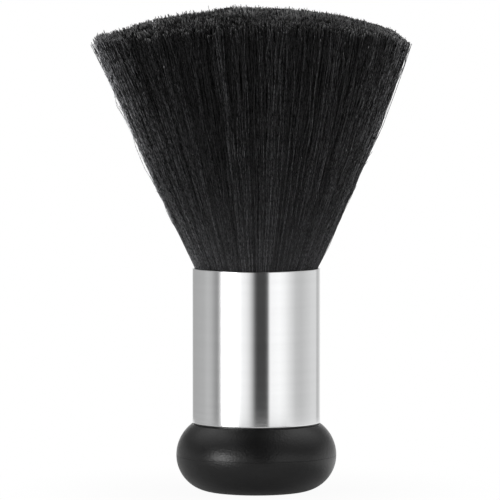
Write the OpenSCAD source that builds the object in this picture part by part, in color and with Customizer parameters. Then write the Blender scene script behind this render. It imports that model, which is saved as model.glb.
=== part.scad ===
// Neck duster brush: a domed bristle head in an aluminium ferrule, on a round weighted base.
// Millimetres, +Z up. The origin is the middle of the foot, X runs along the width of the head
// and the front faces -Y.

/* [Bristle head] */
// Height of the whole brush, from the foot to the top of the crown
total_height = 170; // [160:1:185]
// Width of the head across its cut ends
head_width = 112; // [96:1:124]
// Depth of the head, front to back, across its cut ends
head_depth = 70; // [66:1:84]
// How much lower the crown is at its sides than in the middle
crown_drop = 11.5; // [6:0.5:16]
// How far the top of the crown sits towards +X from the middle of the head
crown_shift = 3; // [0:0.5:8]
// How far the tips lean towards -X
head_lean = 2.6; // [0:0.1:5]

/* [Ferrule] */
// Outside diameter of the ferrule
ferrule_d = 45; // [44:0.5:47]
// Length of the ferrule
ferrule_length = 54.5; // [52:0.5:60]
// Wall of the ferrule
ferrule_wall = 0.8; // [0.6:0.1:1]
// Polished bevel at each end of the ferrule
ferrule_bevel = 0.25; // [0.2:0.05:0.5]

/* [Base] */
// Greatest diameter of the base, at its seam
base_d = 56.3; // [55:0.1:58]
// Height of the base, from the foot to the ferrule
base_height = 24.5; // [24:0.1:26]
// Height of the seam between the two halves
seam_height = 13; // [12.4:0.1:13.4]
// Wall of both halves
base_wall = 2.6; // [2.2:0.1:2.8]
// Shadow gap between the base and the ferrule
shadow_gap = 0.5; // [0.4:0.05:1]

/* [Foot] */
// Diameter of the non-slip pad
pad_d = 25; // [22:0.5:27]
// Thickness of the pad
pad_thickness = 1.2; // [1:0.1:1.4]

/* [Hidden] */
$fn = 96;

// Base outline: the lower half is an arc that runs into the flat foot, the upper half an arc
// that ends at the shoulder under the ferrule
pad_proud = 0.3;
foot_z = pad_proud;
base_r = base_d / 2;
ferrule_r = ferrule_d / 2;
bore_r = ferrule_r - ferrule_wall;
shoulder_step = 0.1;
shoulder_r = ferrule_r + shoulder_step;
shoulder_z = base_height - shadow_gap;
shoulder_rise = shoulder_z - seam_height;
lower_arc_r = seam_height - foot_z;
lower_arc_x = base_r - lower_arc_r;
upper_arc_x = (base_r^2 - shoulder_r^2 - shoulder_rise^2) / (2 * (base_r - shoulder_r));
upper_arc_r = base_r - upper_arc_x;
seam_chamfer = 0.3;
floor_z = foot_z + base_wall;
overrun = 1;

// Lip of the lower half, which locates inside the upper half
lip_height = 2.5;
lip_root = 3;
lip_wall = 1.1;
lip_gap = 0.1;
lip_r = upper_arc_x + sqrt((upper_arc_r - base_wall)^2 - lip_height^2) - lip_gap;

// Screw, M5 x 30 with a pan head, and its washer
screw_r = 2.5;
screw_length = 30;
screw_hole_r = 2.75;
head_r = 4.75;
head_h = 3.1;
head_gap = 0.3;
driver_slot = [5, 1.2, 1.8];
washer_r = 5;
washer_hole_r = 2.65;
washer_h = 1;
pocket_r = 6;
head_z = pad_thickness + head_gap;
washer_z = head_z + head_h;
seat_z = washer_z + washer_h;
screw_top = washer_z + screw_length;
screw_boss_r = 8.2;
screw_boss_length = 7.4;
screw_boss_top = seat_z + screw_boss_length;

// Steel weight, a ring round the screw boss with its lower edge bevelled to clear the shell
weight_gap = 0.3;
weight_flare = 5;
weight_bevel = 2.6;
weight_height = 8;
weight_foot_r = lower_arc_x - weight_gap;
weight_r = lower_arc_x + weight_flare;
weight_top = floor_z + weight_height;

// Spigot of the upper half, inside the ferrule, with a deck that carries the root cup
spigot_height = 12;
spigot_wall = 2.5;
deck_h = 3;
deck_top = base_height + spigot_height;
ledge = 0.2;
ledge_r = bore_r + ledge;

// Root cup, with its boss hanging down through the deck
cup_wall = 1.2;
cup_floor = 3;
cup_height = 25.7;
cup_r = bore_r - cup_wall;
cup_rim = deck_top + cup_height;
cup_boss_r = 5;
cup_boss_gap = 0.2;
cup_boss_bottom = base_height;

// Bristles: rings of strands on a round root, spread to an oval crown. Ring number k holds
// 6 * k strands. The inner rings are the core hank, and each outer hank is a sixth of the rest
rings = 10;
core_rings = 4;
outer_hanks = 6;
hank_span = 360 / outer_hanks;
strand_sides = 3;
resin_wall = 1.9;
root_edge = 1.2;
root_r = cup_r - resin_wall;
ring_pitch = (root_r - root_edge) / rings;
core_r = (core_rings + 0.5) * ring_pitch;
resin_floor = deck_top + cup_floor;
resin_bed = 3;
resin_depth = 11;
resin_top = resin_floor + resin_depth;
slice_z = resin_floor + resin_bed;
slice_h = 4;
tie_gap = 1;
tie_h = 6;
tie_wall = 0.7;
tie_z = resin_top + tie_gap;
tie_r = cup_r - tie_wall;
mouth_z = base_height + ferrule_length;
mouth_gap = 0.35;
side_height = total_height - crown_drop - mouth_z;
strand_root_r = 0.6;
strand_mouth_r = 0.65;
strand_middle_r = 1;
strand_tip_r = 1.45;
mouth_r = bore_r - mouth_gap - strand_mouth_r;
bow = 0.12;
middle = 0.5;
turn = 137.5;
depth_drop = (head_depth / head_width)^2;
crown_place = crown_shift / (head_width / 2);

// Part of the way from the mouth's radius to the crown's, at a share t of the side height
function flare(t) = t + bow * t * (1 - t);

// Centre of a strand at a share t of the side height, from its place on the unit disc
function strand_at(place, t) = [
    place.x * (mouth_r + (head_width / 2 - strand_tip_r - mouth_r) * flare(t)) - head_lean * t^2,
    place.y * (mouth_r + (head_depth / 2 - strand_tip_r - mouth_r) * flare(t)),
    mouth_z + side_height * t
];

// Share of the side height at which a strand is cut
function cut_at(place) =
    (total_height - mouth_z - crown_drop * ((place.x - crown_place)^2 + depth_drop * place.y^2)) / side_height;

// Corners of a strand's section round a centre
function section(centre, radius, start) = [
    for (i = [0:strand_sides - 1])
        centre + radius * [cos(start + i * 360 / strand_sides), sin(start + i * 360 / strand_sides), 0]
];

// Place on the unit disc of strand i of ring k, where the ring holds "count" strands from an angle on
function ring_place(k, i, count, from, span) =
    (k / rings) * [cos(from + span * (i + 0.5) / count), sin(from + span * (i + 0.5) / count)];

module strand(place, start) {
    sections = [
        section([place.x, place.y, 0] * (root_r - root_edge) + [0, 0, slice_z + slice_h / 2],
            strand_root_r, start),
        section(strand_at(place, 0), strand_mouth_r, start),
        section(strand_at(place, middle), strand_middle_r, start),
        section(strand_at(place, cut_at(place)), strand_tip_r, start)
    ];
    levels = len(sections);
    sides = strand_sides;
    last = (levels - 1) * sides;
    walls = [
        for (level = [0:levels - 2], i = [0:sides - 1])
            let (a = level * sides + i, b = level * sides + (i + 1) % sides)
                each [[a, a + sides, b], [b, a + sides, b + sides]]
    ];
    root_cap = [for (i = [0:sides - 1]) i];
    tip_cap = [for (i = [sides - 1:-1:0]) last + i];
    polyhedron([for (ring = sections) each ring], concat([root_cap], walls, [tip_cap]));
}

module ring_of_strands(k, count, from, span) {
    for (i = [0:count - 1])
        strand(ring_place(k, i, count, from, span), turn * (k * rings + i));
}

// The middle hank, on a round slice of its set root
module bristle_hank_core() {
    color("#26262a") {
        translate([0, 0, slice_z]) cylinder(h = slice_h, r = core_r);
        strand([0, 0], 0);
        for (k = [1:core_rings]) ring_of_strands(k, outer_hanks * k, 0, 360);
    }
}

// One of the six outer hanks, on a sixth of the ring round the core
module outer_hank(number) {
    from = hank_span * (number - 1);
    color("#242428") {
        rotate([0, 0, from])
            rotate_extrude(angle = hank_span)
                translate([core_r, slice_z]) square([root_r - core_r, slice_h]);
        for (k = [core_rings + 1:rings]) ring_of_strands(k, k, from, hank_span);
    }
}

// Non-slip pad, proud of the foot
module foot_pad() {
    color("#3a3a3c") cylinder(h = pad_thickness, d = pad_d);
}

// Half-section of the lower half, moved in by "inset"
module lower_outline(inset) {
    intersection() {
        union() {
            translate([lower_arc_x, seam_height]) circle(r = lower_arc_r - inset);
            translate([0, foot_z + inset]) square([lower_arc_x, seam_height - foot_z - inset]);
        }
        translate([0, foot_z]) square([base_r, seam_height - foot_z]);
    }
}

// Half-section of the upper half, moved in by "inset"
module upper_outline(inset) {
    intersection() {
        union() {
            translate([upper_arc_x, seam_height]) circle(r = upper_arc_r - inset);
            translate([0, seam_height]) square([upper_arc_x, upper_arc_r - inset]);
        }
        translate([0, seam_height]) square([base_r, shoulder_rise - inset]);
    }
}

// Small chamfer at the seam, on the side given by "side"
module seam_notch(side) {
    polygon([
        [base_r - seam_chamfer, seam_height],
        [base_r + seam_chamfer, seam_height],
        [base_r + seam_chamfer, seam_height + side * 2 * seam_chamfer]
    ]);
}

// Lower half of the base: shell, screw boss and locating lip
module base_lower() {
    color("#2c2c2e") rotate_extrude() difference() {
        union() {
            difference() {
                lower_outline(0);
                lower_outline(base_wall);
            }
            translate([0, foot_z]) square([screw_boss_r, screw_boss_top - foot_z]);
            intersection() {
                lower_outline(0);
                translate([lip_r - lip_wall, seam_height - lip_root]) square([base_wall, lip_root]);
            }
            translate([lip_r - lip_wall, seam_height - lip_root]) square([lip_wall, lip_root + lip_height]);
        }
        square([pad_d / 2, pad_thickness]);
        square([pocket_r, seat_z]);
        square([screw_hole_r, screw_boss_top + overrun]);
        seam_notch(-1);
    }
}

// Upper half of the base: shell, ledge for the ferrule, spigot and deck
module base_upper() {
    color("#2c2c2e") rotate_extrude() difference() {
        union() {
            difference() {
                upper_outline(0);
                upper_outline(base_wall);
            }
            translate([bore_r - spigot_wall, shoulder_z - base_wall])
                square([ledge_r - bore_r + spigot_wall, base_height - shoulder_z + base_wall]);
            translate([bore_r - spigot_wall, weight_top]) square([spigot_wall, deck_top - weight_top]);
            translate([0, deck_top - deck_h]) square([bore_r, deck_h]);
        }
        square([bore_r - spigot_wall, deck_top - deck_h]);
        square([cup_boss_r + cup_boss_gap, deck_top + overrun]);
        seam_notch(1);
    }
}

// Steel ring that keeps the brush upright
module base_weight() {
    color("#7d8086") rotate_extrude() polygon([
        [screw_boss_r + weight_gap, floor_z],
        [weight_foot_r, floor_z],
        [weight_r, floor_z + weight_bevel],
        [weight_r, weight_top],
        [screw_boss_r + weight_gap, weight_top]
    ]);
}

// Pan-head screw, driven up from under the foot
module base_screw() {
    color("#b9bcc0") difference() {
        union() {
            translate([0, 0, head_z]) cylinder(h = head_h, r = head_r);
            translate([0, 0, washer_z]) cylinder(h = screw_length, r = screw_r);
        }
        for (a = [0, 90])
            rotate([0, 0, a])
                translate([-driver_slot.x / 2, -driver_slot.y / 2, head_z - overrun])
                    cube([driver_slot.x, driver_slot.y, driver_slot.z + overrun]);
    }
}

module screw_washer() {
    color("#b9bcc0") translate([0, 0, washer_z]) difference() {
        cylinder(h = washer_h, r = washer_r);
        translate([0, 0, -overrun]) cylinder(h = washer_h + 2 * overrun, r = washer_hole_r);
    }
}

// Aluminium tube, bevelled at both ends
module ferrule() {
    color("#d9dadc") translate([0, 0, base_height]) rotate_extrude() polygon([
        [bore_r, 0],
        [ferrule_r - ferrule_bevel, 0],
        [ferrule_r, ferrule_bevel],
        [ferrule_r, ferrule_length - ferrule_bevel],
        [ferrule_r - ferrule_bevel, ferrule_length],
        [bore_r, ferrule_length]
    ]);
}

// Cup that holds the bristle root, with the boss that takes the screw
module root_cup() {
    color("#d6d0bd") rotate_extrude() difference() {
        union() {
            translate([0, deck_top]) square([bore_r, cup_rim - deck_top]);
            translate([0, cup_boss_bottom]) square([cup_boss_r, deck_top - cup_boss_bottom]);
        }
        translate([0, resin_floor]) square([cup_r, cup_rim]);
        square([screw_r, screw_top]);
    }
}

// Cured resin under and round the bristle root
module root_resin() {
    color("#b98f4a") rotate_extrude() {
        translate([0, resin_floor]) square([cup_r, slice_z - resin_floor]);
        translate([root_r, resin_floor]) square([cup_r - root_r, resin_top - resin_floor]);
    }
}

// Whipping round the bristles above the resin
module bundle_tie() {
    color("#dcdcd8") rotate_extrude() translate([tie_r, tie_z]) square([cup_r - tie_r, tie_h]);
}

foot_pad();
base_lower();
base_upper();
base_weight();
base_screw();
screw_washer();
ferrule();
root_cup();
root_resin();
bundle_tie();
bristle_hank_core();
outer_hank(1);  // bristle_hank_1
outer_hank(2);  // bristle_hank_2
outer_hank(3);  // bristle_hank_3
outer_hank(4);  // bristle_hank_4
outer_hank(5);  // bristle_hank_5
outer_hank(6);  // bristle_hank_6
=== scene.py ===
"""Dresses the neck duster: thousands of fibres, a polished ferrule and a moulded base."""

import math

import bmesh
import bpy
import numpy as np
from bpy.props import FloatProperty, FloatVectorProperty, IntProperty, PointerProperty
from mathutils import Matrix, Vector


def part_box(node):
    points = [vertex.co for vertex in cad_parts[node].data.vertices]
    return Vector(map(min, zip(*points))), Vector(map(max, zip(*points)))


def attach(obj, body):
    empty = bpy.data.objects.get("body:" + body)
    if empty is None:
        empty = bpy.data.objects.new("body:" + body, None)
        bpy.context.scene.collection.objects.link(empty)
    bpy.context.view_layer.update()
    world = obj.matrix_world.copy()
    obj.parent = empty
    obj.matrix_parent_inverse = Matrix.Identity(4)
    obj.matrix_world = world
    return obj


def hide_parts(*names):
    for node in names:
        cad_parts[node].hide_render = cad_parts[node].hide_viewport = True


bl_info = {
    "name": "Neck duster brush",
    "version": (1, 0, 0),
    "blender": (4, 5, 0),
    "location": "View3D > Sidebar > Brush",
    "description": "Dresses a barber's neck duster with fibres, metal and moulded plastic",
    "category": "Object",
}

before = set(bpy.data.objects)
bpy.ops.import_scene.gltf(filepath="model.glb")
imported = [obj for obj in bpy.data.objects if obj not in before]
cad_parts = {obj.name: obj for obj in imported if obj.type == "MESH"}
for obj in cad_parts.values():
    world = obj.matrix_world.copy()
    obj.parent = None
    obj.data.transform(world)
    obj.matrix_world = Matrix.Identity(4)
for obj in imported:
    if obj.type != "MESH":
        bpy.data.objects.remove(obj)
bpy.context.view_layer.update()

MM = 0.001
BODY = "root"
BAKE_MAP = "OFBake"
WHITE = (1.0, 1.0, 1.0, 1.0)

OUTER_HANKS = 6
HANKS = ["bristle_hank_core"] + [f"bristle_hank_{n + 1}" for n in range(OUTER_HANKS)]

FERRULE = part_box("ferrule")
BASE_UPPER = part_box("base_upper")
BASE_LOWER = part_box("base_lower")
FOOT_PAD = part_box("foot_pad")
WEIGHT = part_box("base_weight")
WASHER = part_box("screw_washer")
HEAD_LOW = np.min([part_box(hank)[0] for hank in HANKS], axis=0)
HEAD_HIGH = np.max([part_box(hank)[1] for hank in HANKS], axis=0)

# Sizes inside the base, which have to suit the screw, the washer and the root cup
SHOULDER_STEP = 0.1 * MM
SPIGOT_WALL = 2.5 * MM
DECK_THICKNESS = 3.0 * MM
DECK_HOLE = 5.2 * MM
SCREW_POCKET = 6.0 * MM
SCREW_BOSS = 8.2 * MM
SCREW_BOSS_LENGTH = 7.4 * MM
SCREW_HOLE = 2.75 * MM

# Steps along the arcs of the turned pieces
OUTER_ARC = 40
INNER_ARC = 16
BEVEL_ARC = 5
SEAM_ARC = 3
SHARP_EDGE = math.radians(40)


# Sizes, colours and studio values that a user may change


class BrushSizes(bpy.types.PropertyGroup):
    """Walls, edges and small gaps of the hard parts"""

    ferrule_wall: FloatProperty(
        name="Ferrule wall", description="Thickness of the aluminium tube",
        default=0.8 * MM, unit="LENGTH")
    ferrule_round: FloatProperty(
        name="Ferrule edge", description="Radius of the polished edge at both ends of the tube",
        default=0.25 * MM, unit="LENGTH")
    base_wall: FloatProperty(
        name="Base wall", description="Thickness of both halves of the base",
        default=2.6 * MM, unit="LENGTH")
    shadow_gap: FloatProperty(
        name="Shadow gap", description="Height of the dark groove between base and ferrule",
        default=0.5 * MM, unit="LENGTH")
    ledge: FloatProperty(
        name="Ledge", description="Width of the ledge that carries the ferrule",
        default=0.2 * MM, unit="LENGTH")
    seam_height: FloatProperty(
        name="Seam height", description="Height of the seam between the halves of the base",
        default=13.0 * MM, unit="LENGTH")
    seam_round: FloatProperty(
        name="Seam edge", description="Radius of the moulded edges at the seam",
        default=0.08 * MM, unit="LENGTH")
    pad_rib: FloatProperty(
        name="Pad rib", description="Width of the rings on the non-slip pad",
        default=0.9 * MM, unit="LENGTH")
    pad_groove: FloatProperty(
        name="Pad groove", description="Depth of the grooves between the rings",
        default=0.25 * MM, unit="LENGTH")
    round_steps: IntProperty(
        name="Round steps", description="Steps round each turned piece", default=256, min=32)


class BristleLook(bpy.types.PropertyGroup):
    """Number, thickness and habit of the fibres"""

    core_fibres: IntProperty(
        name="Core fibres", description="Fibres in the core hank", default=5200, min=100, max=6200)
    inner_fibres: IntProperty(
        name="Inner fibres", description="Fibres in the inner part of each outer hank",
        default=3000, min=100, max=6200)
    shell_fibres: IntProperty(
        name="Shell fibres", description="Fibres in the outer shell of each outer hank",
        default=3500, min=100, max=3500)
    root_width: FloatProperty(
        name="Root", description="Radius of a fibre where it leaves the ferrule",
        default=0.075 * MM, unit="LENGTH")
    tip_width: FloatProperty(
        name="Tip", description="Radius of a fibre at its cut end",
        default=0.13 * MM, unit="LENGTH")
    crown_drop: FloatProperty(
        name="Crown drop", description="How much lower the crown is at its sides",
        default=11.5 * MM, unit="LENGTH")
    crown_shift: FloatProperty(
        name="Crown shift", description="How far the top of the crown sits to the right",
        default=3.0 * MM, unit="LENGTH")
    corner_rise: FloatProperty(
        name="Corner rise", description="How much longer fibres are at the left corner of the crown",
        default=1.7 * MM, unit="LENGTH")
    corner_fall: FloatProperty(
        name="Corner fall", description="How much shorter fibres are at the right corner of the crown",
        default=1.8 * MM, unit="LENGTH")
    bow: FloatProperty(
        name="Bow", description="How much the sides of the head bow outwards", default=0.12)
    tuft_pull: FloatProperty(
        name="Tuft pull", description="How far fibres gather into small tufts at their tips",
        default=0.3, subtype="FACTOR")
    lock_pull: FloatProperty(
        name="Lock pull", description="How far fibres gather into larger locks at their tips",
        default=0.045, subtype="FACTOR")
    wander: FloatProperty(
        name="Wander", description="How far fibres stray sideways from the even spread",
        default=0.6 * MM, unit="LENGTH")
    uneven_cut: FloatProperty(
        name="Uneven cut", description="Spread of the fibres' lengths at the crown",
        default=0.7 * MM, unit="LENGTH")
    rim_cut: FloatProperty(
        name="Rim cut", description="How much shorter fibres are cut at the front and back rims",
        default=1.8 * MM, unit="LENGTH")
    fringe: FloatProperty(
        name="Fringe", description="How far single fibres stand off the head",
        default=0.7 * MM, unit="LENGTH")
    loose_layer: FloatProperty(
        name="Loose layer", description="Depth of the loose fibres at the left side of the head",
        default=4.2 * MM, unit="LENGTH")
    flyaway_share: FloatProperty(
        name="Flyaways", description="Share of the outermost fibres that stand off the head",
        default=0.2, subtype="FACTOR")
    # Painted shade: share of a fibre's length at the rims where the tip is kept dark instead of showing its
    # painted highlight
    tip_shade: FloatProperty(
        name="Worn tip", description="Share of a fibre's length that is worn dark at the rims",
        default=0.02, subtype="FACTOR")
    seed: IntProperty(name="Seed", description="Seed of every random draw", default=7)


class FinishColours(bpy.types.PropertyGroup):
    """Colours of the finishes"""

    fibre: FloatVectorProperty(
        name="Fibre", description="Dyed fibre", subtype="COLOR", default=(0.0122, 0.0122, 0.0127))
    # Paler cut end, with a painted highlight of the light from above on the tips
    cut_end_highlight: FloatVectorProperty(
        name="Cut end", description="Cut end of a fibre", subtype="COLOR", default=(0.72, 0.72, 0.724))
    aluminium: FloatVectorProperty(
        name="Aluminium", description="Polished aluminium", subtype="COLOR", default=(0.86, 0.865, 0.87))
    plastic: FloatVectorProperty(
        name="Base plastic", description="Black moulded plastic", subtype="COLOR",
        default=(0.0045, 0.0045, 0.0047))
    rubber: FloatVectorProperty(
        name="Pad rubber", description="Non-slip pad", subtype="COLOR", default=(0.022, 0.022, 0.023))
    steel: FloatVectorProperty(
        name="Steel", description="Turned steel of the weight", subtype="COLOR", default=(0.5, 0.51, 0.53))
    zinc: FloatVectorProperty(
        name="Zinc", description="Plated screw and washer", subtype="COLOR", default=(0.68, 0.69, 0.7))
    nylon: FloatVectorProperty(
        name="Nylon", description="Natural nylon of the root cup", subtype="COLOR",
        default=(0.75, 0.71, 0.6))
    resin: FloatVectorProperty(
        name="Resin", description="Cured resin round the root", subtype="COLOR", default=(0.6, 0.42, 0.16))
    cord: FloatVectorProperty(
        name="Cord", description="Waxed cord round the root", subtype="COLOR", default=(0.78, 0.78, 0.75))


class StudioSetup(bpy.types.PropertyGroup):
    """Camera and light"""

    lens: FloatProperty(name="Lens", description="Focal length in millimetres", default=403.0)
    distance: FloatProperty(
        name="Distance", description="Camera to the brush's axis", default=1.96, unit="LENGTH")
    height: FloatProperty(
        name="Height", description="Camera above the floor", default=0.22085, unit="LENGTH")
    side: FloatProperty(
        name="Side", description="Camera to the left of the brush's axis", default=2.22 * MM, unit="LENGTH")
    pitch: FloatProperty(
        name="Pitch", description="How far the camera looks down", default=math.radians(3.96),
        subtype="ANGLE")
    softbox: FloatProperty(
        name="Softbox", description="Brightness of the softbox on the left", default=6.2)
    overhead: FloatProperty(
        name="Overhead", description="Brightness of the panels above both sides", default=1.3)
    bounce: FloatProperty(
        name="Bounce", description="Brightness of the low reflector on the right", default=3.0)
    floor_radius: FloatProperty(
        name="Floor", description="Radius of the floor", default=0.26, unit="LENGTH")


# Shader nodes


# Colour sockets of a Mix node, which have the same names as its sockets for other data
MIX_FIRST = 6
MIX_SECOND = 7
MIX_RESULT = 2


def wire(tree, node, inputs):
    """Gives a node's inputs their values, or links them to other nodes' outputs"""
    for name, value in inputs.items():
        if isinstance(value, bpy.types.NodeSocket):
            tree.links.new(value, node.inputs[name])
        else:
            node.inputs[name].default_value = value


def add_node(tree, kind, inputs=None, **settings):
    """A node of a kind, with its settings and its inputs"""
    node = tree.nodes.new(kind)
    for name, value in settings.items():
        setattr(node, name, value)
    wire(tree, node, inputs or {})
    return node


def ramp(tree, source, stops):
    """Colour ramp over a value, from (place, grey level or colour) stops"""
    node = add_node(tree, "ShaderNodeValToRGB", {"Fac": source})
    elements = node.color_ramp.elements
    while len(elements) < len(stops):
        elements.new(1.0)
    for element, (place, level) in zip(elements, stops):
        element.position = place
        colour = (level,) * 3 if isinstance(level, (int, float)) else tuple(level)
        element.color = (*colour, 1.0)
    return node.outputs["Color"]


def maths(tree, operation, *values):
    """Math node on sockets or numbers"""
    node = add_node(tree, "ShaderNodeMath", dict(enumerate(values)), operation=operation)
    return node.outputs["Value"]


def spread(tree, source, low, high):
    """A value from 0 to 1 spread between two levels"""
    node = add_node(tree, "ShaderNodeMapRange", {"Value": source, "To Min": low, "To Max": high})
    return node.outputs["Result"]


def fade(tree, source, start, end, low, high):
    """A smooth change from one level to another while a value runs from start to end"""
    limits = {"Value": source, "From Min": start, "From Max": end, "To Min": low, "To Max": high}
    return add_node(tree, "ShaderNodeMapRange", limits, interpolation_type="SMOOTHSTEP").outputs["Result"]


def blend(tree, first, second, share=1.0, kind="MIX"):
    """Two colours blended, the second by a share"""
    colours = {"Factor": share, MIX_FIRST: first, MIX_SECOND: second}
    return add_node(tree, "ShaderNodeMix", colours, data_type="RGBA", blend_type=kind).outputs[MIX_RESULT]


def product(tree, *colours):
    """Product of some colours"""
    result = colours[0]
    for colour in colours[1:]:
        result = blend(tree, result, colour, kind="MULTIPLY")
    return result


def glow(tree, colour, strength=1.0):
    """Light of a colour from the studio round the brush"""
    lamp = add_node(tree, "ShaderNodeBackground", {"Color": colour, "Strength": strength})
    return lamp.outputs["Background"]


def both(tree, first, second):
    """Two lights together"""
    return add_node(tree, "ShaderNodeAddShader", {0: first, 1: second}).outputs["Shader"]


def either(tree, share, first, second):
    """One shader or, by a share, another"""
    return add_node(tree, "ShaderNodeMixShader", {"Fac": share, 1: first, 2: second}).outputs["Shader"]


def background_rays(tree, mirrored):
    """One for rays that show the white background: those from the camera, and mirrored ones by a share"""
    rays = add_node(tree, "ShaderNodeLightPath")
    mirror = maths(tree, "MAXIMUM", rays.outputs["Is Glossy Ray"], rays.outputs["Is Transmission Ray"])
    return maths(tree, "MAXIMUM", rays.outputs["Is Camera Ray"], maths(tree, "MULTIPLY", mirror, mirrored))


def new_material(name):
    """A material with one Principled shader: the material, its tree and the shader"""
    material = bpy.data.materials.new(name)
    material.use_nodes = True
    tree = material.node_tree
    return material, tree, tree.nodes["Principled BSDF"]


def grain_group():
    """Shared group: fine grain on Object coordinates, as a mask and a bump height"""
    name = "surface_grain"
    if name in bpy.data.node_groups:
        return bpy.data.node_groups[name]
    group = bpy.data.node_groups.new(name, "ShaderNodeTree")
    scale = group.interface.new_socket("Scale", in_out="INPUT", socket_type="NodeSocketFloat")
    scale.default_value = 1000.0
    stretch = group.interface.new_socket("Stretch", in_out="INPUT", socket_type="NodeSocketVector")
    stretch.default_value = (1.0, 1.0, 1.0)
    group.interface.new_socket("Mask", in_out="OUTPUT", socket_type="NodeSocketFloat")
    group.interface.new_socket("Height", in_out="OUTPUT", socket_type="NodeSocketFloat")
    entry = add_node(group, "NodeGroupInput")
    place = add_node(group, "ShaderNodeTexCoord")
    stretched = add_node(group, "ShaderNodeMapping", {
        "Vector": place.outputs["Object"], "Scale": entry.outputs["Stretch"]}).outputs["Vector"]
    coarse_scale = maths(group, "MULTIPLY", entry.outputs["Scale"], 0.12)
    coarse = add_node(group, "ShaderNodeTexNoise", {
        "Vector": stretched, "Scale": coarse_scale, "Detail": 3.0, "Roughness": 0.6})
    fine = add_node(group, "ShaderNodeTexNoise", {
        "Vector": stretched, "Scale": entry.outputs["Scale"], "Detail": 2.0, "Roughness": 0.5})
    add_node(group, "NodeGroupOutput", {"Mask": coarse.outputs["Fac"], "Height": fine.outputs["Fac"]})
    return group


def grained_material(name, colour, roughness, scale, bump, metallic=0.0, stretch=(1.0, 1.0, 1.0),
                     tint=0.12, specular=0.5):
    """A finish with a tint, a gloss and a bump that follow the shared grain"""
    material, tree, shader = new_material(name)
    grain = add_node(tree, "ShaderNodeGroup", {"Scale": scale, "Stretch": stretch}, node_tree=grain_group())
    low = tuple(c * (1.0 - tint) for c in colour)
    high = tuple(min(1.0, c * (1.0 + tint)) for c in colour)
    relief = add_node(tree, "ShaderNodeBump", {
        "Strength": bump[0], "Distance": bump[1], "Height": grain.outputs["Height"]})
    wire(tree, shader, {
        "Base Color": ramp(tree, grain.outputs["Mask"], [(0.3, low), (0.7, high)]),
        "Roughness": spread(tree, grain.outputs["Mask"], *roughness),
        "Normal": relief.outputs["Normal"],
        "Metallic": metallic,
        "Specular IOR Level": specular})
    return material


# Pieces


def add_object(name, data):
    """A new object in the scene"""
    piece = bpy.data.objects.new(name, data)
    bpy.context.scene.collection.objects.link(piece)
    return piece


def hand_over(piece, material, slot, *nodes):
    """Finishes a piece with its material, hangs it on the body and hides the nodes in its place"""
    piece.data.materials.append(material)
    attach(piece, BODY)
    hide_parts(*nodes)


def arc(centre, radius, start, end, steps):
    """Points of an arc in the half-section, angles in degrees from the outward direction"""
    turns = np.radians(np.linspace(start, end, steps + 1))
    return [(centre[0] + radius * math.cos(a), centre[1] + radius * math.sin(a)) for a in turns]


def turned(name, outline, steps):
    """A closed half-section, as (radius, height) points, spun round the brush's axis"""
    shape = bmesh.new()
    points = [shape.verts.new((radius, 0.0, height)) for radius, height in outline]
    edges = [shape.edges.new(pair) for pair in zip(points, points[1:] + points[:1])]
    bmesh.ops.spin(
        shape, geom=points + edges, cent=(0, 0, 0), axis=(0, 0, 1), angle=math.tau, steps=steps,
        use_merge=True)
    bmesh.ops.remove_doubles(shape, verts=shape.verts, dist=1e-7)
    bmesh.ops.dissolve_degenerate(shape, dist=1e-7, edges=shape.edges)
    bmesh.ops.recalc_face_normals(shape, faces=shape.faces)
    for face in shape.faces:
        face.smooth = True
    mesh = bpy.data.meshes.new(name)
    shape.to_mesh(mesh)
    shape.free()
    mesh.set_sharp_from_angle(angle=SHARP_EDGE)
    return add_object(name, mesh)


# Fibres


# Rings of a fibre, as shares of its length from the ferrule's mouth; fewer do where only the tips show
SUNK = 0.07
SHELL_RINGS = np.array([-SUNK, 0.0, 0.1, 0.22, 0.35, 0.49, 0.63, 0.77, 0.9, 1.0])
INNER_RINGS = np.array([-SUNK, 0.0, 0.35, 0.7, 1.0])

# Edges of the hanks' layers, as shares of the root's radius
CORE_EDGE = 0.45
SHELL_EDGE = 0.85

# Section of a fibre, and the step between its corners on the map
SECTION_SIDES = 3
MAP_STEP = 0.002

# Tufts and locks: their number, how unevenly they lie, and the spread of what they do to their fibres
TUFTS = 2400
LOCKS = 90
CENTRE_JITTER = 0.6
TUFT_DRIFT = 0.01
TUFT_TONE = 0.05
LOCK_TONE = 0.06
TUFT_RISE = 0.7
TUFT_CUT = 1.5
LOCK_CUT = 0.5
TUFT_WEAR = 0.6

# Hold of a fibre in the head, from 0 to 1: few hold less than LOOSE_HOLD and lie loosely, and those
# under EDGE_HOLD stand outside the even spread
HOLD_POWER = 0.4
LOOSE_HOLD = 0.3
EDGE_HOLD = 0.22
LOOSE_STRAY = 2.0

# Where effects begin, as shares of the root's radius
LOOSE_START = 0.5
RIM_CUT_START = 0.8
FLYAWAY_START = 0.9

# Lengths and thickness: spreads and limits, as shares of the values that a user may change
FRINGE_LIMIT = 2.0
SHORT_CUT = 0.6
LONG_RANGE = (0.2, 1.2)
LOOSE_LENGTHS = (0.35, 1.0)
THICKNESS_RANGE = (0.7, 1.2)
FLYAWAY_THICKNESS = 0.7

# Run of the change in length at the corners, as a share of half the head's width
CORNER_WIDTH = 0.12

# Tone of the fibres, 0 for the darkest and 1 for the lightest; the slope is painted light that makes the
# right side lighter
MIDDLE_TONE = 0.44
PAINTED_LIGHT_SLOPE = 0.065
TONE_SPREAD = 0.21
LEFT_SPREAD = 0.1
LIGHTEST = 0.85

# Painted shade on the tips, which holds back their painted highlight: where it begins towards the front and
# the back rim, how much more of it the left side has, and how steeply it grows at both sides
FRONT_TIP_SHADE_START = 0.286
BACK_TIP_SHADE_START = 0.6
LEFT_TIP_SHADE = 0.1
SIDE_TIP_SHADE_POWER = 6

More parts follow.
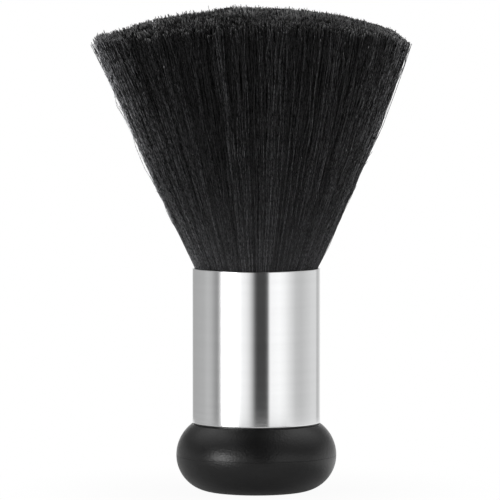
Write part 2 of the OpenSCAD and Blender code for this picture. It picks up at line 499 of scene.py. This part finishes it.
# Values for the left half and the right half of the head; the flank and side values are painted light, which
# makes the fibres lighter towards the head's sides
CORNER_START = (0.82, 0.864)
FLANK_LIGHT_POWER = (9.0, 14.0)
FLANK_PAINTED_LIGHT = (0.95, 0.3)
FLANK_LIGHT_LIMIT = (0.15, 0.1)
SIDE_PAINTED_LIGHT = (0.15, 0.26)

# Values at the left side and the right side of the head, with an even run between
LOOSE_DEPTH = (1.0, 0.3)
TUFT_CUT_SIDES = (1.3, 0.5)
LOCK_CUT_SIDES = (1.0, 0.0)
LONG_SHARE = (0.14, 0.02)
LONG_SIDES = (1.7, 1.0)


def by_half(places, values):
    """A value for places in the left half of the head, and another for those in the right half"""
    return np.where(places[:, 0] < 0.0, *values)


def from_side_to_side(places, values):
    """A value that runs evenly from the left side of the head to its right side"""
    left, right = values
    return left + (right - left) * (1.0 + places[:, 0]) / 2.0


def rise(values, start, end=1.0):
    """Zero up to a start, one from an end on, with an even rise between"""
    return np.clip((values - start) / (end - start), 0.0, 1.0)


def nearest(places, centres):
    """The centre that is nearest to each place"""
    gaps = ((places[:, None, :] - centres[None, :, :]) ** 2).sum(axis=2)
    return gaps.argmin(axis=1)


def sunflower(count, random):
    """Places spread evenly over the unit disc, each moved a little"""
    index = np.arange(count) + 0.5
    radius = np.sqrt(index / count)
    turn = index * math.pi * (3.0 - math.sqrt(5.0))
    even = np.stack([radius * np.cos(turn), radius * np.sin(turn)], axis=1)
    return even + random.normal(0.0, CENTRE_JITTER / math.sqrt(count), even.shape)


def hank_places(hank, inner, outer, count, random):
    """Places of one hank's fibres on the unit disc of the root, between two radii"""
    radius = np.sqrt(inner ** 2 + (outer ** 2 - inner ** 2) * random.random(count))
    if hank == 0:
        turn = math.tau * random.random(count)
    else:
        turn = math.tau / OUTER_HANKS * (hank - 1 + random.random(count))
    return np.stack([radius * np.cos(turn), radius * np.sin(turn)], axis=1)


class Head:
    """The head's shape: where a fibre runs, from its place on the root to its cut end"""

    def __init__(self, sizes, look):
        self.mouth = FERRULE[1].z
        self.mouth_radius = FERRULE[1].x - sizes.ferrule_wall - look.root_width
        self.reach = (HEAD_HIGH - HEAD_LOW)[:2] / 2
        self.lean = (HEAD_HIGH + HEAD_LOW)[0] / 2
        self.drop = look.crown_drop
        self.crown_place = look.crown_shift / self.reach[0]
        self.bow = look.bow
        self.rise = HEAD_HIGH[2] - self.mouth
        self.side = self.rise - self.drop
        self.depth_share = (self.reach[1] / self.reach[0]) ** 2

    def cut(self, places):
        """Share of the side height at which a fibre is cut"""
        fall = (places[..., 0] - self.crown_place) ** 2 + self.depth_share * places[..., 1] ** 2
        return (self.rise - self.drop * fall) / self.side

    def at(self, places, share):
        """Points at a share of the side height"""
        flare = np.maximum(share, 0.0)
        flare = flare + self.bow * flare * (1.0 - flare)
        half = self.mouth_radius + (self.reach - self.mouth_radius) * flare[..., None]
        across = places * half
        across[..., 0] += self.lean * np.maximum(share, 0.0) ** 2
        return np.concatenate([across, (self.mouth + self.side * share)[..., None]], axis=2)


class Tufts:
    """Centres that fibres gather to, small tufts and larger locks, with what each does to its fibres"""

    def __init__(self, look, random):
        self.centres = sunflower(TUFTS, random)
        self.locks = sunflower(LOCKS, random)
        lock = nearest(self.centres, self.locks)
        self.drift = random.normal(0.0, TUFT_DRIFT, self.centres.shape)
        lock_tone = random.normal(0.0, LOCK_TONE, LOCKS)
        self.tone = random.normal(0.0, TUFT_TONE, TUFTS) + lock_tone[lock]
        lock_cut = random.normal(0.0, LOCK_CUT, LOCKS) * from_side_to_side(self.locks, LOCK_CUT_SIDES)
        tuft_cut = np.abs(random.normal(0.0, TUFT_CUT, TUFTS))
        tuft_cut *= from_side_to_side(self.centres, TUFT_CUT_SIDES)
        self.cut = look.uneven_cut * (TUFT_RISE + lock_cut[lock] - tuft_cut)
        self.wear = np.clip(random.normal(0.0, TUFT_WEAR, TUFTS), 0.0, 1.0)


class Fibres:
    """Fibres that start at some places on the root, with their paths, radii, tones with painted side light,
    and map heights with painted shade on the tips
    """

    def __init__(self, places, rings, head, tufts, look, random):
        self.places = places
        self.count = len(places)
        self.rings = rings
        self.shares = np.maximum(rings, 0.0)
        self.rim = np.hypot(*places.T)
        self.tuft = nearest(places, tufts.centres)
        self.hold = random.random(self.count) ** HOLD_POWER
        self.loose = self.hold < LOOSE_HOLD
        width = head.reach[0]
        runs = self.gathered(tufts, look, width, random)
        runs = self.loosened(runs, look, width, random)
        lengths = self.lengths(runs[:, -1, :], head, tufts, look, random)
        self.paths = head.at(runs, rings[None, :] * lengths[:, None])
        self.radii = self.thickness(look, random)
        self.tones = self.tones_with_painted_light(tufts, random)
        self.heights = self.shaded(tufts, look)

    def grown(self, offsets, power):
        """Offsets of the tips, at every ring of the fibres"""
        return offsets.reshape(self.count, 1, -1) * self.shares[None, :, None] ** power

    def gathered(self, tufts, look, width, random):
        """Places at every ring, gathered into tufts and locks and strayed"""
        to_tuft = tufts.centres[self.tuft] - self.places
        to_lock = tufts.locks[nearest(self.places, tufts.locks)] - self.places
        lean = random.normal(0.0, look.wander / width, (self.count, 2))
        stray = np.where(self.loose, LOOSE_STRAY, 1.0) * look.wander / width
        return (
            self.places[:, None, :]
            + self.grown(to_tuft * look.tuft_pull, 1.5)
            + self.grown(to_lock * look.lock_pull, 2)
            + self.grown(tufts.drift[self.tuft], 2)
            + self.grown(lean, 1)
            + self.grown(stray, 0.5) * random.normal(0.0, 1.0, (self.count, len(self.rings), 2)))

    def loosened(self, runs, look, width, random):
        """Places at every ring, drawn in at the head's sides and, for flyaways, standing off"""
        self.flyaway = (random.random(self.count) < look.flyaway_share) & (self.rim > FLYAWAY_START)
        sideways = (self.places[:, 0] / self.rim) ** 2
        depth = (self.hold - EDGE_HOLD) * from_side_to_side(self.places, LOOSE_DEPTH) * look.loose_layer
        inset = rise(self.rim, LOOSE_START) * depth * sideways / width
        stand_off = np.minimum(random.exponential(1.0, self.count), FRINGE_LIMIT) * look.fringe
        outset = self.flyaway * stand_off / width
        return runs * (1.0 - self.grown(inset, 0.9) + self.grown(outset, 3))

    def lengths(self, ends, head, tufts, look, random):
        """Lengths of the fibres, unevenly cut, as shares of the side height"""
        shorter = SHORT_CUT * np.abs(random.normal(0.0, look.uneven_cut, self.count))
        is_long = random.random(self.count) < from_side_to_side(self.places, LONG_SHARE)
        longer = is_long * random.uniform(*LONG_RANGE, self.count) * look.uneven_cut
        longer *= from_side_to_side(self.places, LONG_SIDES)
        rim_cut = random.exponential(1.0, self.count) * look.rim_cut
        rim_cut *= rise(self.rim, RIM_CUT_START) * np.abs(self.places[:, 1]) ** 3
        start = by_half(self.places, CORNER_START)
        corner = rise(np.abs(ends[:, 0]), start, start + CORNER_WIDTH)
        corner *= by_half(self.places, (look.corner_rise, -look.corner_fall))
        lengths = head.cut(ends) + (tufts.cut[self.tuft] - shorter + longer - rim_cut + corner) / head.side
        ragged = random.uniform(*LOOSE_LENGTHS, self.count)
        return lengths * np.where(self.flyaway | self.loose, ragged, 1.0)

    def thickness(self, look, random):
        """Radii of the fibres at every ring"""
        widths = look.root_width + (look.tip_width - look.root_width) * self.shares
        scales = random.uniform(*THICKNESS_RANGE, self.count)
        scales *= np.where(self.flyaway, FLYAWAY_THICKNESS, 1.0)
        return scales[:, None] * widths

    def tones_with_painted_light(self, tufts, random):
        """Tones of the fibres: random by fibre, tuft and lock, with painted light that makes them lighter
        towards the head's sides and to the right
        """
        across = self.places[:, 0]
        flank_light = np.abs(across) ** by_half(self.places, FLANK_LIGHT_POWER)
        tones = MIDDLE_TONE + PAINTED_LIGHT_SLOPE * across + by_half(self.places, SIDE_PAINTED_LIGHT) * across ** 2
        tones += by_half(self.places, FLANK_PAINTED_LIGHT) * flank_light + tufts.tone[self.tuft]
        tones += random.normal(0.0, TONE_SPREAD + LEFT_SPREAD * np.maximum(-across, 0.0))
        return np.clip(tones, 0.0, LIGHTEST + by_half(self.places, FLANK_LIGHT_LIMIT) * flank_light)

    def shaded(self, tufts, look):
        """Heights of the tips on the map, where a tip in painted shade stays below the pale,
        painted-highlight cut ends: more towards the front rim, the left and both sides than towards the back,
        with a random wear by tuft
        """
        across, back = self.places.T
        shaded = rise(-back, FRONT_TIP_SHADE_START) + rise(back, BACK_TIP_SHADE_START) + tufts.wear[self.tuft]
        shaded += LEFT_TIP_SHADE * np.maximum(-across, 0.0) + np.abs(across) ** SIDE_TIP_SHADE_POWER
        return 1.0 - look.tip_shade * np.clip(shaded, 0.0, 1.0)


def fibre_section():
    """The three-sided section that is swept along every fibre, one millimetre in radius"""
    curve = bpy.data.curves.new("fibre_section", "CURVE")
    spline = curve.splines.new("POLY")
    spline.points.add(SECTION_SIDES - 1)
    for i, point in enumerate(spline.points):
        turn = math.tau * i / SECTION_SIDES
        point.co = (MM * math.cos(turn), MM * math.sin(turn), 0.0, 1.0)
    spline.use_cyclic_u = True
    return bpy.data.objects.new("fibre_section", curve)


def swept(name, paths, radii, tilts):
    """One mesh of the section swept along every path"""
    section = fibre_section()
    curve = bpy.data.curves.new(name, "CURVE")
    curve.dimensions = "3D"
    curve.bevel_mode = "OBJECT"
    curve.bevel_object = section
    curve.use_fill_caps = True
    weights = np.ones(paths.shape[1])
    for path, radius, tilt in zip(paths, radii, tilts):
        spline = curve.splines.new("POLY")
        spline.points.add(len(path) - 1)
        spline.points.foreach_set("co", np.column_stack([path, weights]).ravel())
        spline.points.foreach_set("radius", radius)
        spline.points.foreach_set("tilt", np.full(len(path), tilt))
    holder = add_object(name, curve)
    graph = bpy.context.evaluated_depsgraph_get()
    mesh = bpy.data.meshes.new_from_object(holder.evaluated_get(graph))
    bpy.data.objects.remove(holder)
    bpy.data.curves.remove(curve)
    bpy.data.objects.remove(section)
    return mesh


def map_fibres(mesh, fibres):
    """A map whose width is the fibres' tones and whose height runs along them"""
    for layer in list(mesh.uv_layers):
        mesh.uv_layers.remove(layer)
    layer = mesh.uv_layers.new(name=BAKE_MAP)
    corners = np.empty(len(mesh.loops), dtype=np.int32)
    mesh.loops.foreach_get("vertex_index", corners)
    side = corners % SECTION_SIDES
    section = corners // SECTION_SIDES
    # The mesh holds both caps of every fibre first, from the last fibre back, and then the rings
    caps = 2 * fibres.count
    is_cap = section < caps
    ring = np.maximum(section - caps, 0)
    levels = len(fibres.rings)
    fibre = np.where(is_cap, fibres.count - 1 - section // 2, ring // levels)
    across = fibres.tones[fibre] * (1.0 - 2.0 * MAP_STEP) + MAP_STEP * side
    edge = MAP_STEP * (side + 1) / SECTION_SIDES
    cap = np.where(section % 2 == 0, 1.0 - edge, edge)
    heights = (fibres.rings + SUNK) / (1.0 + SUNK)
    along = np.where(is_cap, cap, heights[ring % levels] * fibres.heights[fibre])
    layer.data.foreach_set("uv", np.column_stack([across, along]).ravel())


def bristle_material(colours):
    """Dyed fibre: a tone for each fibre, a soft gloss, and painted light: a lighter run near the ferrule, a
    painted sheen, painted glints and a painted highlight on the paler cut ends
    """
    material, tree, shader = new_material("dyed_fibre_with_painted_light")
    chart = add_node(tree, "ShaderNodeUVMap", uv_map=BAKE_MAP).outputs["UV"]
    split = add_node(tree, "ShaderNodeSeparateXYZ", {"Vector": chart})
    tone = split.outputs["X"]
    along = split.outputs["Y"]
    fibre = np.array(colours.fibre)
    cut_end_highlight = np.array(colours.cut_end_highlight)
    # Painted light: the dye ramp makes the fibres lighter near the ferrule and darker below the crown
    dye_and_painted_light = ramp(tree, along, [
        (0.0, fibre * 1.5), (0.1, fibre * 2.8), (0.24, fibre * 2.3), (0.48, fibre * 1.95),
        (0.72, fibre * 1.4), (0.94, fibre * 1.15)])
    # Painted sheen: an even lightening added to the fibres' colour low down, near the ferrule
    painted_sheen = ramp(tree, along, [
        (0.0, fibre * 1.1), (0.1, fibre * 2.3), (0.24, fibre * 1.4), (0.48, fibre * 0.3), (0.7, 0.0)])
    # The top stops of both tone ramps serve the painted light on the lightest flank fibres at the head's
    # sides, the high ramp towards the tips
    low_tone = ramp(tree, tone, [(0.0, 0.3), (0.35, 0.9), (0.6, 2.4), (0.85, 4.4), (1.0, 8.0)])
    high_tone = ramp(tree, tone, [
        (0.0, 0.5), (0.35, 1.05), (0.6, 2.25), (0.85, 4.8), (0.93, 21.0), (1.0, 50.0)])
    level = blend(tree, low_tone, high_tone, fade(tree, along, 0.4, 0.8, 0.0, 1.0))
    stretch = add_node(tree, "ShaderNodeVectorMath", {0: chart, 1: (170.0, 90.0, 0.0)}, operation="MULTIPLY")
    noise = add_node(tree, "ShaderNodeTexNoise", {
        "Vector": stretch.outputs["Vector"], "Scale": 1.0, "Detail": 1.0}).outputs["Fac"]
    # Painted glints: short light dashes along each fibre in its colour; the same noise also sets the
    # roughness
    painted_glint = ramp(tree, noise, [(0.42, 0.06), (0.58, 1.0)])
    length = blend(tree, product(tree, dye_and_painted_light, level, painted_glint), painted_sheen, kind="ADD")
    # Paler cut ends with a painted highlight of the light from above, stronger for lighter fibres
    tip = ramp(tree, tone, [
        (0.0, cut_end_highlight * 0.05), (0.38, cut_end_highlight * 0.15), (0.54, cut_end_highlight * 0.5), (0.8, cut_end_highlight * 0.86)])
    tip_highlight_share = ramp(tree, along, [(0.975, 0.0), (0.988, 0.6), (1.0, 1.0)])
    wire(tree, shader, {
        "Base Color": blend(tree, length, tip, tip_highlight_share),
        "Roughness": spread(tree, noise, 0.75, 0.2),
        "Specular IOR Level": 0.12})
    return material


# The studio: brightness at angles, in degrees to the right of the camera as the brush sees it
LEFT_BACKDROP = [(-180, 1.0), (-170, 0.95)]
LEFT_WALL = [(-158, 0.41), (-111, 0.47), (-98, 0.54), (-89, 0.5), (-84, 0.42), (-77, 0.31), (-73, 0.34)]
LEFT_SCREEN = [
    (-70, 0.52), (-67.5, 0.85), (-65, 1.05), (-28, 1.1), (-18.5, 0.97), (-12.3, 0.77), (-7.3, 0.48),
    (-2.3, 0.14)]
DARK_GAP = [(1.7, 0.06), (15.6, 0.06)]
RIGHT_SCREEN = [(20.4, 0.15), (24.4, 1.05), (42, 1.12), (52, 1.02), (62, 0.83)]
RIGHT_WALL = [(76, 0.6), (88, 0.57), (118, 0.73), (135, 0.76), (142, 0.5), (152, 0.6)]
RIGHT_BACKDROP = [(160, 0.8), (172, 1.0)]
WALLS = LEFT_BACKDROP + LEFT_WALL + LEFT_SCREEN + DARK_GAP + RIGHT_SCREEN + RIGHT_WALL + RIGHT_BACKDROP
SOFTBOX = [(-65, 0.0), (-61, 1.0), (-43, 1.0), (-36, 0.15), (-31, 0.02), (-26, 0.0)]
REFLECTOR = [(10, 0.0), (30, 1.0), (110, 1.0), (140, 0.0)]

# The panels above: brightness from the middle to either side, and from the front to the back
PANELS_ACROSS = [(0.0, 0.08), (0.26, 0.28), (0.43, 0.75), (0.52, 1.0), (0.7, 0.65), (0.85, 0.55)]
PANELS_BACK = [(0.27, 0.35), (0.45, 0.9), (0.7, 1.0), (0.85, 0.25)]


# Operators


class BRUSH_OT_stage(bpy.types.Operator):
    """Adds the camera, the studio light and the floor"""

    bl_idname = "brush.stage"
    bl_label = "Stage"

    def execute(self, context):
        studio = context.scene.brush_studio
        self.add_camera(context, studio)
        self.add_light(context, studio)
        self.add_floor(studio)
        context.scene.view_settings.view_transform = "Standard"
        return {"FINISHED"}

    def add_camera(self, context, studio):
        """A long lens, a little above the crown"""
        camera = bpy.data.cameras.new("camera")
        camera.sensor_width = 36.0
        camera.lens = studio.lens
        camera.clip_end = 20.0
        holder = add_object("camera", camera)
        holder.location = (-studio.side, -studio.distance, studio.height)
        holder.rotation_euler = (math.pi / 2 - studio.pitch, 0.0, 0.0)
        context.scene.camera = holder

    def add_light(self, context, studio):
        """A studio all round: a room, a softbox on the left, a low reflector and a white background"""
        world = bpy.data.worlds.new("studio")
        world.use_nodes = True
        context.scene.world = world
        tree = world.node_tree
        tree.nodes.clear()
        place = add_node(tree, "ShaderNodeTexCoord")
        direction = add_node(tree, "ShaderNodeSeparateXYZ", {"Vector": place.outputs["Generated"]}).outputs
        forward = maths(tree, "MULTIPLY", direction["Y"], -1.0)
        angle = maths(tree, "ARCTAN2", direction["X"], forward)
        turn = maths(tree, "MULTIPLY_ADD", angle, 1.0 / math.tau, 0.5)
        room = glow(tree, self.room(tree, studio, direction, turn))
        softbox = glow(tree, self.softbox(tree, direction, turn), studio.softbox)
        reflector = glow(tree, self.reflector(tree, direction, turn), studio.bounce)
        light = both(tree, room, both(tree, softbox, reflector))
        backdrop = fade(tree, direction["Y"], 0.955, 0.985, 0.0, 1.0)
        shown = either(tree, background_rays(tree, backdrop), light, glow(tree, WHITE))
        add_node(tree, "ShaderNodeOutputWorld", {"Surface": shown})

    def round_about(self, tree, turn, stops):
        """Brightness by the angle round the brush"""
        return ramp(tree, turn, [(0.5 + degrees / 360.0, level) for degrees, level in stops])

    def room(self, tree, studio, direction, turn):
        """Walls that darken upwards, and panels above both sides"""
        dimming = fade(tree, direction["Z"], 0.03, 0.3, 1.0, 0.4)
        walls = product(tree, self.round_about(tree, turn, WALLS), dimming)
        across = ramp(tree, maths(tree, "ABSOLUTE", direction["X"]), PANELS_ACROSS)
        back = ramp(tree, maths(tree, "MULTIPLY_ADD", direction["Y"], 0.5, 0.5), PANELS_BACK)
        panels = product(tree, across, back, (studio.overhead,) * 3 + (1.0,))
        return blend(tree, walls, panels, fade(tree, direction["Z"], 0.25, 0.65, 0.0, 1.0))

    def softbox(self, tree, direction, turn):
        """A softbox at the brush's own height"""
        lift = maths(tree, "ABSOLUTE", maths(tree, "ADD", direction["Z"], 0.03))
        return product(tree, self.round_about(tree, turn, SOFTBOX), fade(tree, lift, 0.1, 0.4, 1.0, 0.0))

    def reflector(self, tree, direction, turn):
        """A reflector below the brush's own height"""
        low = fade(tree, direction["Z"], -0.26, -0.17, 1.0, 0.0)
        return product(tree, self.round_about(tree, turn, REFLECTOR), low)

    def add_floor(self, studio):
        """A pale round floor that runs out into the white background"""
        shape = bmesh.new()
        bmesh.ops.create_circle(shape, cap_ends=True, segments=128, radius=studio.floor_radius)
        mesh = bpy.data.meshes.new("floor")
        shape.to_mesh(mesh)
        shape.free()
        material, tree, shader = new_material("pale_floor")
        wire(tree, shader, {
            "Base Color": (0.92, 0.92, 0.92, 1.0), "Roughness": 0.9, "Specular IOR Level": 0.0})
        place = add_node(tree, "ShaderNodeTexCoord").outputs["Object"]
        length = add_node(tree, "ShaderNodeVectorMath", {0: place}, operation="LENGTH")
        # Near the foot a twentieth of the floor's own shade shows, as a faint shadow
        clear = fade(tree, length.outputs["Value"], 0.02, 0.1, 0.95, 1.0)
        seen = maths(tree, "MULTIPLY", clear, background_rays(tree, self.mirrored_floor(tree, place)))
        white = add_node(tree, "ShaderNodeEmission", {"Color": WHITE, "Strength": 1.0})
        shown = either(tree, seen, shader.outputs["BSDF"], white.outputs["Emission"])
        wire(tree, tree.nodes["Material Output"], {"Surface": shown})
        mesh.materials.append(material)
        add_object("floor", mesh)

    def mirrored_floor(self, tree, place):
        """Share of the white background in the floor's reflections, more of it to the right and back"""
        split = add_node(tree, "ShaderNodeSeparateXYZ", {"Vector": place})
        far = maths(tree, "ADD", split.outputs["X"], split.outputs["Y"])
        return fade(tree, far, 0.02, 0.09, 0.12, 0.8)


class BRUSH_OT_bristles(bpy.types.Operator):
    """Grows the fibres of every hank"""

    bl_idname = "brush.bristles"
    bl_label = "Bristles"

    def execute(self, context):
        look = context.scene.brush_bristles
        head = Head(context.scene.brush_sizes, look)
        material = bristle_material(context.scene.brush_colours)
        random = np.random.default_rng(look.seed)
        tufts = Tufts(look, random)
        for number, hank in enumerate(HANKS):
            for layer, inner, outer, count, rings in self.layers(number, hank, look):
                places = hank_places(number, inner, outer, count, random)
                fibres = Fibres(places, rings, head, tufts, look, random)
                tilts = random.uniform(0.0, math.tau, count)
                mesh = swept(layer, fibres.paths, fibres.radii / MM, tilts)
                map_fibres(mesh, fibres)
                hand_over(add_object(layer, mesh), material, "bristle", hank)
        return {"FINISHED"}

    def layers(self, number, hank, look):
        """Layers of a hank: name, inner and outer edge on the root, number of fibres, and their rings"""
        fibres = hank.replace("hank", "fibres")
        shell = hank.replace("hank", "shell")
        if number == 0:
            return [(fibres, 0.0, CORE_EDGE, look.core_fibres, INNER_RINGS)]
        return [
            (fibres, CORE_EDGE, SHELL_EDGE, look.inner_fibres, INNER_RINGS),
            (shell, SHELL_EDGE, 1.0, look.shell_fibres, SHELL_RINGS)]


class BRUSH_OT_ferrule(bpy.types.Operator):
    """Turns the ferrule, with its polished edges"""

    bl_idname = "brush.ferrule"
    bl_label = "Ferrule"

    def execute(self, context):
        sizes = context.scene.brush_sizes
        low, high = FERRULE[0].z, FERRULE[1].z
        outer = FERRULE[1].x
        inner = outer - sizes.ferrule_wall
        edge = sizes.ferrule_round
        hold = edge * 2
        outline = [(inner, low)]
        outline += arc((outer - edge, low + edge), edge, -90, 0, BEVEL_ARC)
        outline += [(outer, low + hold), (outer, high - hold)]
        outline += arc((outer - edge, high - edge), edge, 0, 90, BEVEL_ARC)
        outline += [(inner, high)]
        piece = turned("ferrule_tube", outline, sizes.round_steps)
        material = grained_material(
            "satin_aluminium", context.scene.brush_colours.aluminium, (0.075, 0.13), 900.0, (0.06, 0.02 * MM),
            metallic=1.0, stretch=(0.06, 0.06, 3.0), tint=0.02)
        hand_over(piece, material, "ferrule_aluminium", "ferrule")
        return {"FINISHED"}


class BRUSH_OT_base(bpy.types.Operator):
    """Moulds the two halves of the base"""

    bl_idname = "brush.base"
    bl_label = "Base"

    def execute(self, context):
        sizes = context.scene.brush_sizes
        material = grained_material(
            "moulded_black", context.scene.brush_colours.plastic, (0.27, 0.35), 1500.0, (0.6, 0.16 * MM),
            tint=0.25)
        upper = turned("base_upper_shell", self.upper_outline(sizes), sizes.round_steps)
        hand_over(upper, material, "base_plastic", "base_upper")
        lower = turned("base_lower_shell", self.lower_outline(sizes), sizes.round_steps)
        hand_over(lower, material, "base_plastic", "base_lower")
        return {"FINISHED"}

    def upper_outline(self, sizes):
        """Half-section of the upper half, from the seam over the shoulder to the spigot and back"""
        outer = BASE_UPPER[1].x
        seam = sizes.seam_height
        edge = sizes.seam_round
        bore = FERRULE[1].x - sizes.ferrule_wall
        ledge = bore + sizes.ledge
        top = FERRULE[0].z
        shoulder = FERRULE[1].x + SHOULDER_STEP
        groove = top - sizes.shadow_gap
        rise_to_groove = groove - seam
        centre = (outer ** 2 - shoulder ** 2 - rise_to_groove ** 2) / (2 * (outer - shoulder))
        radius = outer - centre
        start = math.degrees(edge / radius) * 2
        end = math.degrees(math.asin(rise_to_groove / radius))
        inner_radius = radius - sizes.base_wall
        inner_start = math.degrees(math.acos((bore - centre) / inner_radius))
        spigot = bore - SPIGOT_WALL
        deck = BASE_UPPER[1].z
        under_deck = deck - DECK_THICKNESS
        ceiling = WEIGHT[1].z
        outline = arc((outer - edge, seam + edge), edge, -90, 0, SEAM_ARC)
        outline += arc((centre, seam), radius, start, end, OUTER_ARC)
        outline += [(ledge, groove), (ledge, top), (bore, top), (bore, deck)]
        outline += [(DECK_HOLE, deck), (DECK_HOLE, under_deck), (spigot, under_deck)]
        outline += [(spigot, ceiling), (bore, ceiling)]
        outline += arc((centre, seam), inner_radius, inner_start, 0, INNER_ARC)
        return outline

    def lower_outline(self, sizes):
        """Half-section of the lower half, from the pad's recess round the foot to the seam and back"""
        outer = BASE_LOWER[1].x
        seam = sizes.seam_height
        edge = sizes.seam_round
        foot = BASE_LOWER[0].z
        radius = seam - foot
        centre = (outer - radius, seam)
        recess = FOOT_PAD[1]
        seat = WASHER[1].z
        boss_top = seat + SCREW_BOSS_LENGTH
        end = -math.degrees(edge / radius) * 2
        outline = [(recess.x, recess.z), (recess.x, foot)]
        outline += arc(centre, radius, -90, end, OUTER_ARC)
        outline += arc((outer - edge, seam - edge), edge, 0, 90, SEAM_ARC)
        outline += arc(centre, radius - sizes.base_wall, 0, -90, INNER_ARC)
        outline += [(SCREW_BOSS, foot + sizes.base_wall), (SCREW_BOSS, boss_top)]
        outline += [(SCREW_HOLE, boss_top), (SCREW_HOLE, seat)]
        outline += [(SCREW_POCKET, seat), (SCREW_POCKET, recess.z)]
        return outline


class BRUSH_OT_foot_pad(bpy.types.Operator):
    """Cuts the non-slip pad, with its rings"""

    bl_idname = "brush.foot_pad"
    bl_label = "Foot pad"

    def execute(self, context):
        sizes = context.scene.brush_sizes
        radius = FOOT_PAD[1].x
        top = FOOT_PAD[1].z
        rib = sizes.pad_rib
        groove = sizes.pad_groove
        outline = [(0.0, top), (0.0, 0.0)]
        edge = rib
        while edge + 2 * rib < radius:
            outline += [(edge, 0.0), (edge, groove), (edge + rib, groove), (edge + rib, 0.0)]
            edge += 2 * rib
        outline += [(radius, 0.0), (radius, top)]
        piece = turned("foot_pad_rings", outline, sizes.round_steps)
        material = grained_material(
            "pad_rubber", context.scene.brush_colours.rubber, (0.75, 0.9), 1500.0, (0.3, 0.05 * MM), tint=0.2,
            specular=0.3)
        hand_over(piece, material, "pad_rubber", "foot_pad")
        return {"FINISHED"}


class BRUSH_OT_inner_parts(bpy.types.Operator):
    """Finishes the parts that are shut inside"""

    bl_idname = "brush.inner_parts"
    bl_label = "Inner parts"

    def execute(self, context):
        colours = context.scene.brush_colours
        steel = grained_material(
            "turned_steel", colours.steel, (0.3, 0.42), 700.0, (0.15, 0.03 * MM), metallic=1.0,
            stretch=(0.1, 0.1, 3.0))
        zinc = grained_material(
            "zinc_plate", colours.zinc, (0.25, 0.38), 900.0, (0.1, 0.02 * MM), metallic=1.0)
        nylon = grained_material("natural_nylon", colours.nylon, (0.45, 0.6), 600.0, (0.1, 0.03 * MM))
        resin = grained_material("cured_resin", colours.resin, (0.12, 0.25), 250.0, (0.1, 0.05 * MM))
        cord = grained_material(
            "waxed_cord", colours.cord, (0.6, 0.75), 500.0, (0.4, 0.15 * MM), stretch=(0.2, 0.2, 4.0))
        finishes = {
            "root_cup": nylon,
            "root_resin": resin,
            "bundle_tie": cord,
            "base_weight": steel,
            "base_screw": zinc,
            "screw_washer": zinc,
        }
        for name, material in finishes.items():
            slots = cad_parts[name].data.materials
            slots.clear()
            slots.append(material)
        return {"FINISHED"}


class BRUSH_PT_panel(bpy.types.Panel):
    """Lists the steps that dress the brush"""

    bl_idname = "BRUSH_PT_panel"
    bl_label = "Neck duster brush"
    bl_space_type = "VIEW_3D"
    bl_region_type = "UI"
    bl_category = "Brush"

    def draw(self, context):
        for operator in OPERATORS:
            self.layout.operator(operator.bl_idname)


OPERATORS = (
    BRUSH_OT_stage, BRUSH_OT_bristles, BRUSH_OT_ferrule, BRUSH_OT_base, BRUSH_OT_foot_pad,
    BRUSH_OT_inner_parts)
SETTINGS = {
    "brush_sizes": BrushSizes,
    "brush_bristles": BristleLook,
    "brush_colours": FinishColours,
    "brush_studio": StudioSetup,
}
CLASSES = (*SETTINGS.values(), *OPERATORS, BRUSH_PT_panel)


def register():
    """Adds the classes and the scene's settings"""
    for item in CLASSES:
        bpy.utils.register_class(item)
    for name, group in SETTINGS.items():
        setattr(bpy.types.Scene, name, PointerProperty(type=group))


def unregister():
    """Takes the settings and the classes away again"""
    for name in SETTINGS:
        delattr(bpy.types.Scene, name)
    for item in reversed(CLASSES):
        bpy.utils.unregister_class(item)


def main():
    """Dresses the brush"""
    register()
    bpy.ops.brush.stage()
    bpy.ops.brush.bristles()
    bpy.ops.brush.ferrule()
    bpy.ops.brush.base()
    bpy.ops.brush.foot_pad()
    bpy.ops.brush.inner_parts()


if __name__ == "__main__":
    main()
